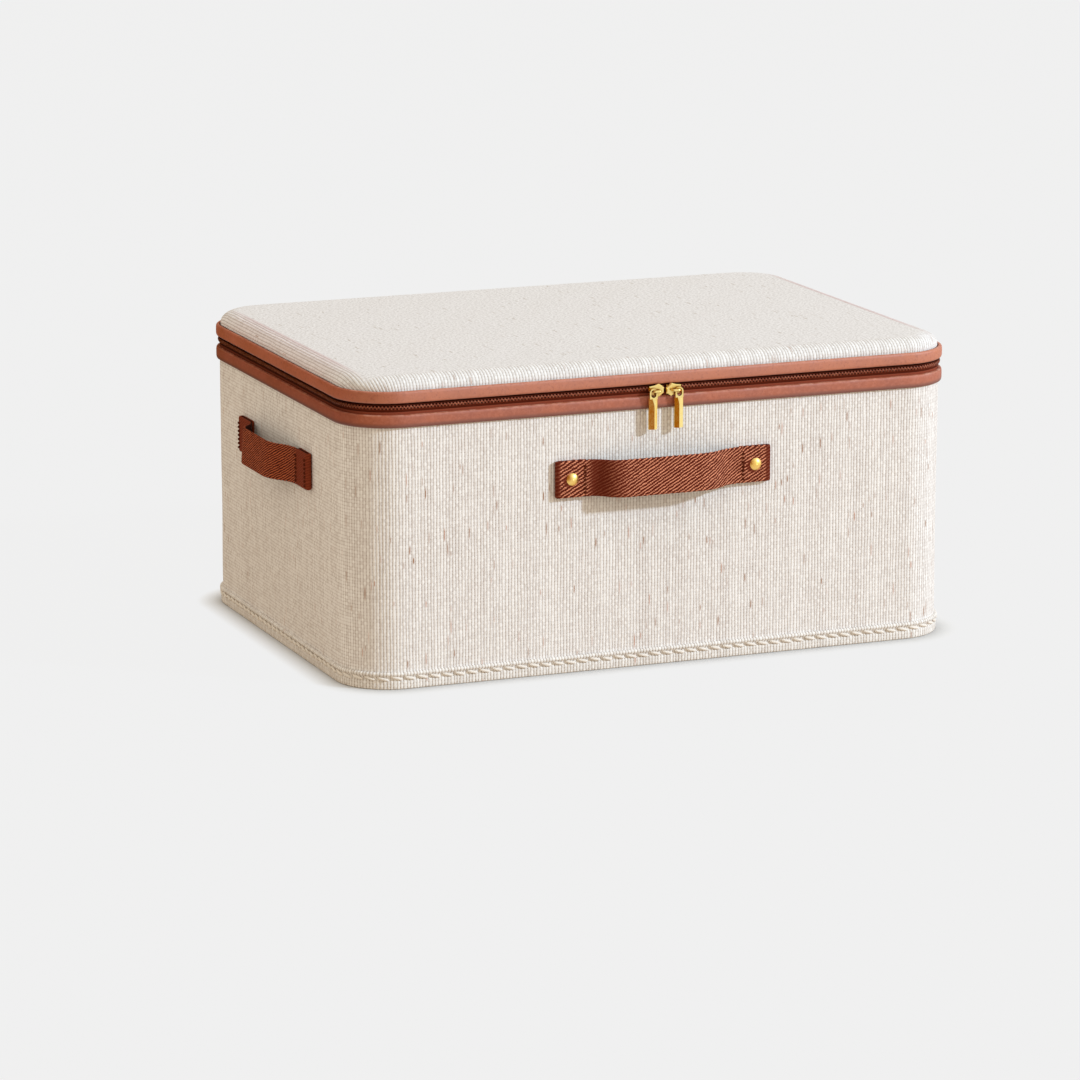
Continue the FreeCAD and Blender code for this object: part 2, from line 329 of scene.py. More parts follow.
def cream_weave(name, gap_colour, yarn_colour, slub_share, flat_top=False, by_side=False):
    """Coarse off-white cloth with upright ribs of small beads and thin brown slubs on its warp yarns; with
    flat_top, painted light evens out the flat top and painted shade darkens the short-side shoulders.
    """
    material, tree = new_material(name)
    across, along = fabric_place(tree)
    cloth = pair(across, along)
    side = mesh_share(tree, SIDE_SHARE) if by_side else 0.0
    yarns = plain_weave(across, along, weave_pitch, weft_pitch, weave_wander)
    warp_round, weft_round, lift, warp, weft = yarns
    warp_seen = remap(warp_round, 0.0, 0.7)
    weft_seen = remap(weft_round, 0.0, 0.7)
    over = lift * 0.5 + 0.5
    level_share = side * (side_weft - weft_share) + weft_share
    bead = over * over_share + (1.0 - over_share) - level_share * (1.0 - weft_seen)
    between = weft_seen * (0.6 - over * 0.35)
    height = warp_seen * bead + (1.0 - warp_seen) * between
    yarn_tone = chance(warp, 3.0)
    fibre = noise(cloth, 1500.0)
    tone = yarn_tone * 0.14 + chance(warp, weft) * (side * 0.10 + 0.22)
    tone = tone + noise(cloth, 22.0, 3.0) * 0.08 + fibre * 0.25
    lit = clamped(height - tone + (side * 0.13 + 0.3))
    colour = mix_colour(lit, gap_colour, yarn_colour)
    slub, pinkish = slub_marks(along, warp, warp_round, yarn_tone, slub_share)
    slub = slub * (1.0 - side * 0.45)
    slub_tint = mix_colour(pinkish, (0.34, 0.16, 0.08), (0.56, 0.33, 0.25))
    relief = warp_round * bead * (1.0 - side * 0.6) + fibre * 0.12
    if flat_top:
        flat = mesh_share(tree, FLAT_SHARE)
        # Painted light on the flat top: its weave is covered with an even pale colour broken by patchy
        # flecks, as the brightly lit top looks.
        patchy = noise(cloth, 700.0, 4.0, 0.75)
        level = clamped(lit * 0.12 + patchy * 2.5 - 0.60)
        colour = mix_colour(flat, colour, mix_colour(level, (0.40, 0.37, 0.35), (0.907, 0.887, 0.895)))
        # Painted shade on the short sides' shoulders, and a darker painted shade line along their crease at
        # the edge of the flat top.
        rim = mesh_share(tree, SIDE_SHARE) * (1.0 - flat) * flat * 4.0
        colour = shade_short_sides(tree, colour, (0.97, 0.90, 0.92))
        colour = mix_colour(rim, colour, (0.86, 0.77, 0.75), "MULTIPLY")
        slub = slub * remap(flat, 0.0, 1.0, 0.6, 0.95)
        slub_tint = mix_colour(flat, slub_tint, (0.50, 0.44, 0.38))
        relief = relief * remap(flat, 0.0, 1.0, 1.0, 0.08)
    colour = mix_colour(slub, colour, slub_tint)
    return dress(material, colour, remap(fibre, 0.3, 0.7, 0.78, 0.95), relief, warp_round_height, 0.8, 0.1)


def band_leather(name, dark, light, short_side_shade, sheen, shaded):
    """Tan leather-look trim with specks and a fine grain, paler near its top from wear and a painted
    highlight, with painted shade near its bottom and on its short sides.
    """
    material, tree = new_material(name)
    along = fabric_place(tree)[1]
    place = object_place(tree)
    cloudy = noise(place, 60.0, 4.0, 0.6)
    colour = mix_colour(remap(cloudy, 0.3, 0.7), dark, light)
    spots = remap(noise(place, 420.0, 4.0, 0.7), 0.4, 0.68)
    colour = mix_colour(spots * 0.35, colour, (0.56, 0.17, 0.09))
    specks = remap(noise(place, 650.0, 4.0, 0.7), 0.36, 0.48, 0.6, 0.0)
    colour = mix_colour(specks, colour, (0.32, 0.055, 0.010))
    # Paler top edge, patchy like wear and partly a painted highlight where the top edge catches the light.
    wear_and_highlight = remap(along, 7.4 * MM, 8.2 * MM) * remap(noise(place, 300.0), 0.35, 0.75)
    colour = mix_colour(wear_and_highlight * 0.6, colour, (0.66, 0.33, 0.23))
    # Painted shade along the band's bottom edge, up to the shaded height.
    under = remap(along, shaded / 2, shaded, 0.9, 0.0)
    colour = mix_colour(under, colour, (0.17, 0.035, 0.012))
    # Painted shade on the band's short sides.
    colour = shade_short_sides(tree, colour, short_side_shade)
    grain = noise(place, 900.0, 3.0) * 0.6 + cell_distance(place, 1500.0)
    roughness = remap(cloudy, 0.3, 0.7, 0.56, 0.68)
    return dress(material, colour, roughness, grain, 0.05 * MM, 0.4, 1.0, IOR=sheen)


def strap_twill(name, groove, rib_colour, shade_colour, ridge_start):
    """Brown twill strap: light slanted ribs with dark grooves, plain with painted shade where the mesh's
    share marks it, and near black on its underside as painted shade.
    """
    material, tree = new_material(name)
    across, flat_along = fabric_place(tree)
    place = pair(across, flat_along)
    along = (noise(place, 320.0) - 0.5) * (1.6 * MM) + flat_along
    turn = math.radians(twill_slope)
    over = along * math.cos(turn) - across * math.sin(turn)
    run = along * math.sin(turn) + across * math.cos(turn)
    rib = calc("ABSOLUTE", calc("COSINE", over / twill_pitch * math.pi))
    twist = calc("SINE", run * (2 * math.pi / (1.1 * MM)) + over * (2 * math.pi / (1.4 * MM)))
    height = rib + twist * 0.12 + (noise(place, 140.0, 3.0) - 0.5) * 0.3
    height = height + (noise(place, 1400.0) - 0.5) * 0.8
    colour = mix_colour(remap(height, ridge_start, ridge_start + 0.55), groove, rib_colour)
    share = mesh_share(tree, PLAIN_AND_SHADE_SHARE)
    # Painted shade: up to a share of 1 the colour turns to the plain shade colour, and above 1, on the
    # underside, to near black.
    colour = mix_colour(calc("MINIMUM", share, 1.0) * 0.85, colour, shade_colour)
    colour = mix_colour(clamped(share - 1.0), colour, (0.03, 0.003, 0.001))
    return dress(material, colour, remap(rib, 0.3, 1.0, 0.9, 0.7), height, 0.15 * MM, 0.5, 0.1)


def zip_cloth(name, low, lines):
    """Red-brown zip tape, finely woven, with painted shade on its short sides; lines are (height, half
    width, colour) of stripes painted along it.
    """
    material, tree = new_material(name)
    across, along = fabric_place(tree)
    height = fine_weave(across, along, 0.55 * MM, 0.1 * MM)
    tone = noise(pair(across, along), 300.0)
    share = clamped(tone * 0.3 + height * 0.6)
    colour = mix_colour(share, (0.055, 0.007, 0.002), (0.18, 0.030, 0.012))
    for level, half, line_colour in lines:
        off = calc("ABSOLUTE", along - (level - low))
        line = remap(off, half * 0.75, half * 1.25, 1.0, 0.0)
        colour = mix_colour(line * remap(share, 0.0, 0.6, 0.75, 1.0), colour, line_colour)
    # Painted shade on the tape's short sides.
    colour = shade_short_sides(tree, colour, zip_short_side_shade)
    return dress(material, colour, remap(tone, 0.3, 0.7, 0.6, 0.8), height, 0.12 * MM, 0.6, 0.03)


def zip_plastic():
    """Brown nylon of the zip's teeth, with painted shade on the short sides."""
    material, tree = new_material("zip_plastic")
    place = object_place(tree)
    tone = noise(place, 500.0)
    colour = mix_colour(remap(tone, 0.3, 0.7), (0.26, 0.060, 0.030), (0.44, 0.14, 0.08))
    # Painted shade on the teeth's short sides.
    colour = shade_short_sides(tree, colour, zip_short_side_shade)
    grain = noise(place, 3000.0)
    return dress(material, colour, remap(tone, 0.3, 0.7, 0.35, 0.5), grain, 0.02 * MM, 0.4, 0.2)


def gold_metal(name, polish, deep, pale):
    """Gold-coloured brass with painted shade in its creases and faint marks; polish is its roughness."""
    material, tree = new_material(name)
    place = object_place(tree)
    colour = mix_colour(remap(noise(place, 260.0, 3.0), 0.3, 0.7), deep, pale)
    # Painted shade: the colour darkens where ambient occlusion finds the metal closed in.
    openness = signal(tree, "AmbientOcclusion", {"Distance": 2.2 * MM}, "AO", samples=8)
    colour = mix_colour(remap(openness, 0.4, 0.92, smooth=False), (0.30, 0.09, 0.010), colour)
    marks = noise(place, 500.0, 1.0)
    roughness = remap(marks, 0.3, 0.7, polish, polish + 0.05)
    return dress(material, colour, roughness, marks, 0.001 * MM, 0.1, Metallic=1.0)


def lining_cloth():
    """Thin beige lining with a fine plain weave."""
    material, tree = new_material("lining_cloth")
    across, along = fabric_place(tree)
    height = fine_weave(across, along, 0.9 * MM, 0.3 * MM)
    cloudy = noise(pair(across, along), 160.0, 4.0, 0.7)
    colour = mix_colour(clamped(cloudy * 0.5 + height * 0.6), (0.50, 0.42, 0.33), (0.74, 0.67, 0.57))
    return dress(material, colour, remap(cloudy, 0.3, 0.7, 0.8, 0.95), height, 0.15 * MM, 0.6, 0.1)


def fibreboard():
    """Grey-brown board with pressed fibres."""
    material, tree = new_material("fibreboard")
    fibres = noise(object_place(tree), 420.0, 6.0, 0.7)
    colour = mix_colour(remap(fibres, 0.35, 0.65), (0.23, 0.16, 0.10), (0.42, 0.32, 0.22))
    return dress(material, colour, remap(fibres, 0.3, 0.7, 0.7, 0.9), fibres, 0.15 * MM, 0.5)


def foam_padding():
    """Open-celled pale foam."""
    material, tree = new_material("foam_padding")
    cells = cell_distance(object_place(tree), 900.0)
    colour = mix_colour(remap(cells, 0.1, 0.7), (0.62, 0.60, 0.52), (0.80, 0.78, 0.70))
    return dress(material, colour, remap(cells, 0.1, 0.7, 0.8, 0.95), cells, 0.2 * MM, 0.6)


def stitch_thread(name, dark, light):
    """Twisted sewing thread."""
    material, tree = new_material(name)
    across, along = fabric_place(tree)
    turns = across * (2 * math.pi) + along * (2 * math.pi / (0.8 * MM))
    twist = calc("SINE", turns) * 0.5 + 0.5
    colour = mix_colour(twist, dark, light)
    return dress(material, colour, remap(twist, 0.0, 1.0, 0.75, 0.9), twist, 0.12 * MM, 0.6, 0.05)


def link(name, data):
    """New object for a mesh, a lamp or the camera."""
    obj = bpy.data.objects.new(name, data)
    bpy.context.scene.collection.objects.link(obj)
    return obj


def finish_object(name, vertices, faces, uvs, material, sharp=None):
    """Object from plain lists, with its cloth map, outward normals and smooth shading."""
    mesh = bpy.data.meshes.new(name)
    mesh.from_pydata(vertices, [], faces)
    if uvs:
        layer = mesh.uv_layers.new(name=FABRIC_MAP)
        layer.data.foreach_set("uv", [number for uv in uvs for number in uv])
    mesh.validate()
    form = bmesh.new()
    form.from_mesh(mesh)
    bmesh.ops.recalc_face_normals(form, faces=form.faces)
    form.to_mesh(mesh)
    form.free()
    mesh.polygons.foreach_set("use_smooth", [True] * len(mesh.polygons))
    if sharp:
        mesh.set_sharp_from_angle(angle=math.radians(sharp))
    mesh.materials.append(material)
    return link(name, mesh)


def store_share(obj, name, shares):
    """Stores one share for each point of a mesh."""
    obj.data.attributes.new(name, "FLOAT", "POINT").data.foreach_set("value", shares)


def store_side_share(obj, normals, count):
    """Stores how far each row of count points faces a short side, from 0 to 1."""
    shares = [max(0.0, abs(normal.x) - 0.7) / 0.3 for normal in normals for k in range(count)]
    store_share(obj, SIDE_SHARE, shares)


def lengths_along(points):
    """Distance of each point along an open line."""
    out = [0.0]
    for a, b in zip(points, points[1:]):
        out.append(out[-1] + math.dist(a, b))
    return out


def plan_legs():
    """Straight runs and corner arcs round the plan, from the middle of the back towards -X."""
    arc = corner_radius * math.pi / 2
    short = half_x - corner_radius
    side = 2 * (half_y - corner_radius)
    return (("run", short), ("arc", arc), ("run", side), ("arc", arc), ("run", 2 * short), ("arc", arc),
            ("run", side), ("arc", arc), ("run", short))


perimeter = sum(length for kind, length in plan_legs())


def plan_at(distance):
    """Point on the wall's outline and its outward normal, this far round the plan."""
    x, y = 0.0, half_y
    heading = math.pi
    left = distance % perimeter if distance != perimeter else perimeter
    for kind, length in plan_legs():
        step = min(left, length)
        normal = Vector((math.sin(heading), -math.cos(heading)))
        if kind == "run":
            x += math.cos(heading) * step
            y += math.sin(heading) * step
        else:
            centre = Vector((x, y)) - normal * corner_radius
            heading += step / corner_radius
            normal = Vector((math.sin(heading), -math.cos(heading)))
            x, y = centre + normal * corner_radius
        left -= step
        if left <= 1e-12:
            break
    return Vector((x, y)), normal


def plan_stations(run_step, arc_steps, start=0.0, end=None):
    """(distance, point, normal) from start to end round the plan, with a station at each change."""
    end = perimeter if end is None else end
    marks = [start, end]
    at = 0.0
    for kind, length in plan_legs():
        count = arc_steps if kind == "arc" else max(1, math.ceil(length / run_step))
        marks += [at + length * i / count for i in range(count)]
        at += length
    kept = sorted(set(round(mark, 7) for mark in marks if start - 1e-9 <= mark <= end + 1e-9))
    return [(mark, *plan_at(mark)) for mark in kept]


def arc_points(centre, radius, start, end, count):
    """Points on a round arc, angles in degrees."""
    turns = [math.radians(start + (end - start) * i / count) for i in range(count + 1)]
    return [(centre[0] + radius * math.cos(t), centre[1] + radius * math.sin(t)) for t in turns]


def divided(points, step):
    """The same open line with points added so that none lie further apart than step."""
    out = [points[0]]
    for a, b in zip(points, points[1:]):
        count = max(1, math.ceil(math.dist(a, b) / step))
        out += [(a[0] + (b[0] - a[0]) * i / count, a[1] + (b[1] - a[1]) * i / count)
                for i in range(1, count + 1)]
    return out


def tube_faces(rows, size, uv_at, base=0, full=False, cap=None):
    """Faces and map places of rows of size points, closed to a ring when full, or else with two ends."""
    faces = []
    uvs = []
    for i in range(rows if full else rows - 1):
        a = base + i * size
        b = base + (i + 1) % rows * size
        for k in range(size):
            n = (k + 1) % size
            faces.append((a + k, b + k, b + n, a + n))
            uvs += [uv_at(i, i, k), uv_at(i, i + 1, k), uv_at(i, i + 1, k + 1), uv_at(i, i, k + 1)]
    if not full:
        for start in (base, base + (rows - 1) * size):
            faces.append(tuple(range(start, start + size)))
            uvs += cap or [(0.0, 0.0)] * size
    return faces, uvs


def sweep(name, profile, stations, material, full=True, lift=None, sharp=40):
    """Closed profile of (outwards from the wall, height) points swept round the plan."""
    lengths = lengths_along(profile + profile[:1])
    rows = stations[:-1] if full else stations
    vertices = []
    for distance, point, normal in rows:
        for out, up in profile:
            extra = lift(distance, up) if lift else 0.0
            place = point + normal * (out + extra)
            vertices.append((place.x, place.y, up))

    def uv_at(leg, row, column):
        return stations[row][0], lengths[column]

    faces, uvs = tube_faces(len(rows), len(profile), uv_at, full=full, cap=profile)
    obj = finish_object(name, vertices, faces, uvs, material, sharp)
    store_side_share(obj, [normal for distance, point, normal in rows], len(profile))
    return obj


def cloth_wave(a, b, depth):
    """Slight unevenness of stretched cloth, the same on each run."""
    long_wave = math.sin(a * 41.0 + 1.3) * math.sin(b * 57.0 + 0.4)
    short_waves = 0.6 * math.sin(a * 97.0 + b * 71.0 + 2.1) + 0.4 * math.sin(a * 163.0 - b * 119.0)
    return depth * (long_wave + short_waves) / 2.0


# Piece: wall cover
def wall_fabric():
    low = wall_low.z
    high = wall_high.z
    inner = -fabric_thickness
    profile = divided([(0.0, low), (0.0, high)], 5 * MM)
    profile += divided([(inner, high), (inner, low)], 40 * MM)

    def lift(distance, up):
        share = min(1.0, (up - low) / (14 * MM), (high - up) / (10 * MM))
        return cloth_wave(distance, up, wall_wave_depth) * max(0.0, share)

    obj = sweep("wall_fabric", profile, plan_stations(5 * MM, 14), weave, lift=lift)
    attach(obj, "box")
    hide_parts("wall_cover")


# Piece: binding round the bottom
def hem_profile():
    """Binding with a raised rolled fold at its top, a groove under it for the stitches and a flat rim."""
    face = binding_high.x - half_x
    groove = face - hem_groove
    top = binding_high.z
    rim_top = stitch_height - 1.2 * MM
    line = [(-hem_turn_in, 0.0)]
    line += arc_points((face - hem_edge, hem_edge), hem_edge, -90, 0, 5)
    line += arc_points((groove, rim_top - hem_groove), hem_groove, 0, 60, 3)
    line += [(groove, stitch_height - 0.4 * MM), (groove, stitch_height + 0.5 * MM)]
    line += arc_points((face - hem_roll + 0.75 * MM, top - hem_roll), hem_roll, -70, 90, 8)
    line += [(band_gap, top - 0.2 * MM), (band_gap, fabric_thickness), (-hem_turn_in, fabric_thickness)]
    return line


def bottom_hem():
    obj = sweep("bottom_hem", hem_profile(), plan_stations(8 * MM, 14), hem_weave, sharp=60)
    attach(obj, "box")
    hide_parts("bottom_binding")


class Stitches:
    """Collects rounded thread stitches in one mesh."""

    def __init__(self, sides, rings):
        self.vertices = []
        self.faces = []
        self.uvs = []
        self.sides = sides
        self.rings = rings

    def add(self, start, end, radius, outward, arch):
        """One stitch from start to end that swells in its middle and rises by arch along outward."""
        run = end - start
        side = run.normalized().cross(outward).normalized()
        up = side.cross(run.normalized())
        base = len(self.vertices)
        for i in range(self.rings + 1):
            t = i / self.rings
            swell = math.sqrt(max(0.0, 1 - (2 * t - 1) ** 4))
            centre = start + run * t + outward * (arch * math.sin(math.pi * t))
            for k in range(self.sides):
                turn = 2 * math.pi * k / self.sides
                ray = side * math.cos(turn) + up * math.sin(turn)
                self.vertices.append(tuple(centre + ray * (radius * max(0.12, swell))))

        def uv_at(leg, row, column):
            return column / self.sides, run.length * row / self.rings

        faces, uvs = tube_faces(self.rings + 1, self.sides, uv_at, base)
        self.faces += faces
        self.uvs += uvs

    def make(self, name, material, body, slot):
        obj = finish_object(name, self.vertices, self.faces, self.uvs, material)
        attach(obj, body)


def hem_stitches():
    """Long slanted stitches along the binding's groove."""
    out = binding_high.x - half_x - 0.2 * MM
    count = round(perimeter / stitch_pitch)
    pitch = perimeter / count
    stitches = Stitches(6, 6)
    for i in range(count):
        jitter = rng.uniform(-0.25, 0.25) * MM
        a, na = plan_at(i * pitch)
        b, nb = plan_at(i * pitch + pitch * 0.93)
        start = Vector((*(a + na * out), stitch_height + 0.9 * MM + jitter))
        end = Vector((*(b + nb * out), stitch_height - 0.8 * MM + jitter))
        outward = Vector((*((na + nb) / 2).normalized(), 0.0))
        stitches.add(start, end, 0.85 * MM, outward, 0.3 * MM)
    stitches.make("hem_stitches", cream_thread, "box", "cream_weave")


def no_wave(x, y, share):
    return 0.0


def shell(name, rim, underside, levels, material, steps=(5 * MM, 14), wave=no_wave, mapped=True):
    """Two layers, each a line of (inset, height) from the edge inwards, then rings to the centre."""
    ring = plan_stations(*steps)[:-1]
    count = len(ring)
    points = []
    faces = []

    def add_layer(line):
        base = len(points)
        flat_inset, flat_height = line[-1]
        for (inset, up), reach in zip(line, lengths_along(line[::-1])[::-1]):
            for distance, point, normal in ring:
                place = point - normal * inset
                spread = point - normal * flat_inset + normal * reach
                points.append((*place, up, *spread))
        for share in levels:
            for distance, point, normal in ring:
                place = (point - normal * flat_inset) * (1 - share)
                points.append((*place, flat_height + wave(*place, share), *place))
        centre = len(points)
        points.append((0.0, 0.0, flat_height + wave(0.0, 0.0, 1.0), 0.0, 0.0))
        last = centre - count
        for a in range(base, last, count):
            b = a + count
            faces.extend((a + i, a + (i + 1) % count, b + (i + 1) % count, b + i) for i in range(count))
        faces.extend((last + i, last + (i + 1) % count, centre) for i in range(count))

    add_layer(rim)
    under = len(points)
    add_layer(underside)
    faces += [(i, (i + 1) % count, under + (i + 1) % count, under + i) for i in range(count)]
    uvs = [points[v][3:] for face in faces for v in face] if mapped else None
    return finish_object(name, [point[:3] for point in points], faces, uvs, material, 60)


# Piece: cloth under the base
def base_fabric():
    low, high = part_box("base_cover")
    inset = half_x - high.x
    levels = (0.12, 0.3, 0.5, 0.7, 0.88)
    obj = shell("base_fabric", [(inset, low.z)], [(inset, high.z)], levels, weave, (20 * MM, 10))
    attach(obj, "box")
    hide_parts("base_cover")


# Pieces: leather-look bands
def band(name, low, high, body, node, leather):
    """Trim with a softly domed face."""
    middle = (low + high) / 2
    half = (high - low) / 2
    steps = 16
    profile = []
    for i in range(steps + 1):
        turn = math.pi * i / steps - math.pi / 2
        up, out = math.sin(turn), math.cos(turn)
        share_up = math.copysign(abs(up) ** (2 / band_fullness), up)
        share_out = abs(out) ** (2 / band_fullness)
        profile.append((band_gap + (band_face - band_gap) * share_out, middle + half * share_up))
    obj = sweep(name, profile, plan_stations(10 * MM, 16), leather, sharp=50)
    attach(obj, body)
    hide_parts(node)


# Pieces: zip, from past one back corner round the front to past the other
zip_start, zip_end = hinge_half, perimeter - hinge_half


def zip_tape(name, low, high, body, node, material):
    profile = divided([(0.0, low), (0.0, high)], 1.5 * MM)
    profile += [(-tape_thickness, high), (-tape_thickness, low)]
    obj = sweep(name, profile, plan_stations(12 * MM, 14, zip_start, zip_end), material, full=False)
    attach(obj, body)
    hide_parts(node)


def zip_teeth(name, root, tip, phase, body, node):
    """Teeth from the tape's edge bead at root to their heads at tip, one every pitch."""
    count = round((zip_end - zip_start) / tooth_pitch)
    pitch = (zip_end - zip_start) / count
    back = 0.02 * MM
    corners = ((0.7, root, back), (1.0, tip, back), (0.7, root, teeth_face * 0.8),
               (0.75, (root + 3 * tip) / 4, teeth_face), (0.6, tip, teeth_face * 0.55))
    shape = [(side * share * tooth_width / 2, up, out) for share, up, out in corners for side in (-1, 1)]
    sides = ((0, 2, 3, 1), (0, 1, 5, 4), (4, 5, 7, 6), (6, 7, 9, 8), (8, 9, 3, 2), (0, 4, 6, 2), (2, 6, 8),
             (1, 3, 7, 5), (3, 9, 7))
    vertices = []
    faces = []
    normals = []
    for i in range(count - 1):
        point, normal = plan_at(zip_start + (i + 0.5 + phase) * pitch)
        along = Vector((-normal.y, normal.x))
        base = len(vertices)
        for shift, up, out in shape:
            place = point + along * shift + normal * out
            vertices.append((place.x, place.y, up))
        faces += [tuple(base + k for k in side) for side in sides]
        normals.append(normal)
    obj = finish_object(name, vertices, faces, None, tooth_plastic, 35)
    store_side_share(obj, normals, len(shape))
    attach(obj, body)
    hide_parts(node)


def zip_cord(name, height, body, material):
    """Sewn bead that holds a row of teeth on its tape."""
    profile = arc_points((0.12 * MM, height), bead_radius, 0, 315, 7)
    stations = plan_stations(10 * MM, 14, zip_start, zip_end)
    obj = sweep(name, profile, stations, material, full=False, sharp=80)
    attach(obj, body)


# Piece: fabric hinge behind the bands at the back
def hinge_fabric():
    low, high = hinge_low.z, hinge_high.z
    outer = divided([(0.0, low), (0.0, high)], 0.6 * MM)
    inner = divided([(-tape_thickness, high), (-tape_thickness, low)], 0.6 * MM)
    stations = plan_stations(12 * MM, 14, zip_end, perimeter)
    stations += [(perimeter + d, p, n) for d, p, n in plan_stations(12 * MM, 14, 0.0, hinge_half)[1:]]
    obj = sweep("hinge_fabric", outer + inner, stations, tape_cloth, full=False)
    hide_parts("hinge_strip")
    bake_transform(obj)


# Pieces: lid cover, pad and linings
def lid_wave(x, y, share):
    """Height of the stretched lid cover over its flat shape, share 0 at its edge and 1 at its centre."""
    pillow = (1 - abs(x / half_x) ** 5) * (1 - abs(y / half_y) ** 5)
    return unit(share * 8.0) * cloth_wave(x, y, lid_wave_depth) + lid_crown * pillow * unit(share * 4.0)


def lid_outline(inset, low, top, shoulder):
    """Edge line of a lid layer: an upright skirt and a soft shoulder that is deeper than it is high."""
    deep, high = shoulder
    line = [(inset, low), (inset, (low + top - high) / 2)]
    power = 2 / shoulder_fullness
    for i in range(15):
        turn = math.pi / 2 * i / 14
        x, z = math.cos(turn) ** power, math.sin(turn) ** power
        line.append((inset + deep * (1 - x), top - high + high * z))
    return line


def lid_fabric():
    low, top = lid_low_corner.z, lid_high_corner.z
    deep, high = lid_shoulder
    thin = fabric_thickness
    rim = lid_outline(lid_inset, low, top, lid_shoulder)
    under = lid_outline(lid_inset + thin, low, top - thin, (deep - thin, high - thin))
    obj = shell("lid_fabric", rim, under, [0.04 * i for i in range(1, 25)], lid_weave, wave=lid_wave)
    edge_x, edge_y = half_x - lid_inset - deep, half_y - lid_inset - deep
    flat = []
    side = []
    for vertex in obj.data.vertices:
        past_x, past_y = abs(vertex.co.x) - edge_x, abs(vertex.co.y) - edge_y
        flat.append(unit(1.0 - max(past_x, past_y) / (3 * MM)))
        side.append(unit(past_x / (1.5 * MM)) * unit(-past_y / (45 * MM)))
    store_share(obj, FLAT_SHARE, flat)
    store_share(obj, SIDE_SHARE, side)
    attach(obj, "lid")
    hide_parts("lid_cover")


def lid_pad():
    """Thin foam under the lid's cover."""
    start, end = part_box("lid_foam")
    inset = half_x - end.x
    deep, high = lid_shoulder
    thin = fabric_thickness + 0.2 * MM
    rim = lid_outline(inset, start.z, end.z, (deep - thin, high - thin))
    under = [(inset + 2 * MM, start.z), (inset + deep, start.z)]
    obj = shell("lid_pad", rim, under, [0.1 * i for i in range(1, 10)], foam, mapped=False)
    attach(obj, "lid")
    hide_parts("lid_foam")


def box_lining():
    """Wall lining that wraps over the board's top edge."""
    start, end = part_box("wall_lining")
    inner = end.x - half_x
    face = inner - lining_thickness
    low, top = start.z, end.z
    rim_end = -0.7 * MM
    under = top + 0.12 * MM
    line = divided([(face, low), (face, top)], 12 * MM)
    round_over = arc_points((inner, top), lining_thickness, 180, 90, 4)
    profile = line + round_over[1:] + [(rim_end, top + lining_thickness), (rim_end, under)]
    profile += [(inner, under), (inner, low)]
    obj = sweep("box_lining", profile, plan_stations(10 * MM, 12), lining, sharp=60)
    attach(obj, "box")
    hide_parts("wall_lining")


lining_levels = [0.08 * i for i in range(1, 12)]


def floor_lining():
    """Flat cloth on the base board, with its rim turned down a little."""
    low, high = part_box("base_lining")
    inset = half_x - high.x
    rim = [(inset, low.z), (inset, (low.z + high.z) / 2), (inset + 0.3 * MM, high.z)]
    under = [(inset + 0.1 * MM, low.z), (inset + 1 * MM, low.z)]
    obj = shell("floor_lining", rim, under, lining_levels, lining)
    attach(obj, "box")
    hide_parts("base_lining")


def lid_lining():
    """Lining of the lid: a flat panel under the board, down the frame and round its lower edge."""
    start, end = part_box("lid_lining")
    inset = half_x - end.x
    low, top = start.z, end.z
    thin = lining_thickness
    wrap_out = 0.9 * MM
    face = inset + thin
    rim = [(wrap_out, low - 0.05 * MM), (inset + thin / 2, low - 0.35 * MM), (face, low + 0.1 * MM),
           (face, top - thin - 1 * MM), (face + 1 * MM, top - thin)]
    under = [(wrap_out, low - 0.02 * MM), (inset - 0.02 * MM, low - 0.02 * MM), (inset, top - 0.4 * MM),
             (inset + 0.4 * MM, top)]
    obj = shell("lid_lining_cloth", rim, under, lining_levels, lining)
    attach(obj, "lid")
    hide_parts("lid_lining")


# Pieces: straps
def strap_path(length):
    """(along, out) points of a strap's middle line, from one tucked end to the other."""
    half = length / 2
    layer = (strap_thickness + fold_gap) / 2
    first = band_gap + strap_thickness / 2
    inner = half - tab_length
    fold = half - layer - strap_thickness / 2
    tab_line = first + 2 * layer
    rise = strap_stand_off - strap_thickness / 2 - tab_line

    def bend(turn_degrees):
        turn = math.radians(turn_degrees)
        radius = rise / (2 * (1 - math.cos(turn)))
        lower = [(radius * math.sin(turn * i / 8), radius * (1 - math.cos(turn * i / 8))) for i in range(9)]
        run = 2 * radius * math.sin(turn)
        return lower + [(run - x, rise - z) for x, z in reversed(lower[:-1])]

    steep = [(-inner + x, tab_line + z) for x, z in bend(steep_bend)]
    gentle = [(inner - x, tab_line + z) for x, z in bend(gentle_bend)][::-1]
    left_fold = arc_points((-fold, first + layer), layer, 270, 90, 8)
    right_fold = arc_points((fold, first + layer), layer, 90, -90, 8)
    tucked = inner - 0.5 * MM
    return [(-tucked, first)] + left_fold + steep + gentle + right_fold + [(tucked, first)]


def evenly(points, step):
    """(distance, x, y) at equal steps along an open line."""
    lengths = lengths_along(points)
    count = math.ceil(lengths[-1] / step)
    out = []
    k = 0
    for i in range(count + 1):
        at = lengths[-1] * i / count
        while k < len(points) - 2 and lengths[k + 1] < at:
            k += 1
        span = lengths[k + 1] - lengths[k]
        t = (at - lengths[k]) / span if span > 0 else 0.0
        a, b = points[k], points[k + 1]
        out.append((at, a[0] + (b[0] - a[0]) * t, a[1] + (b[1] - a[1]) * t))
    return out


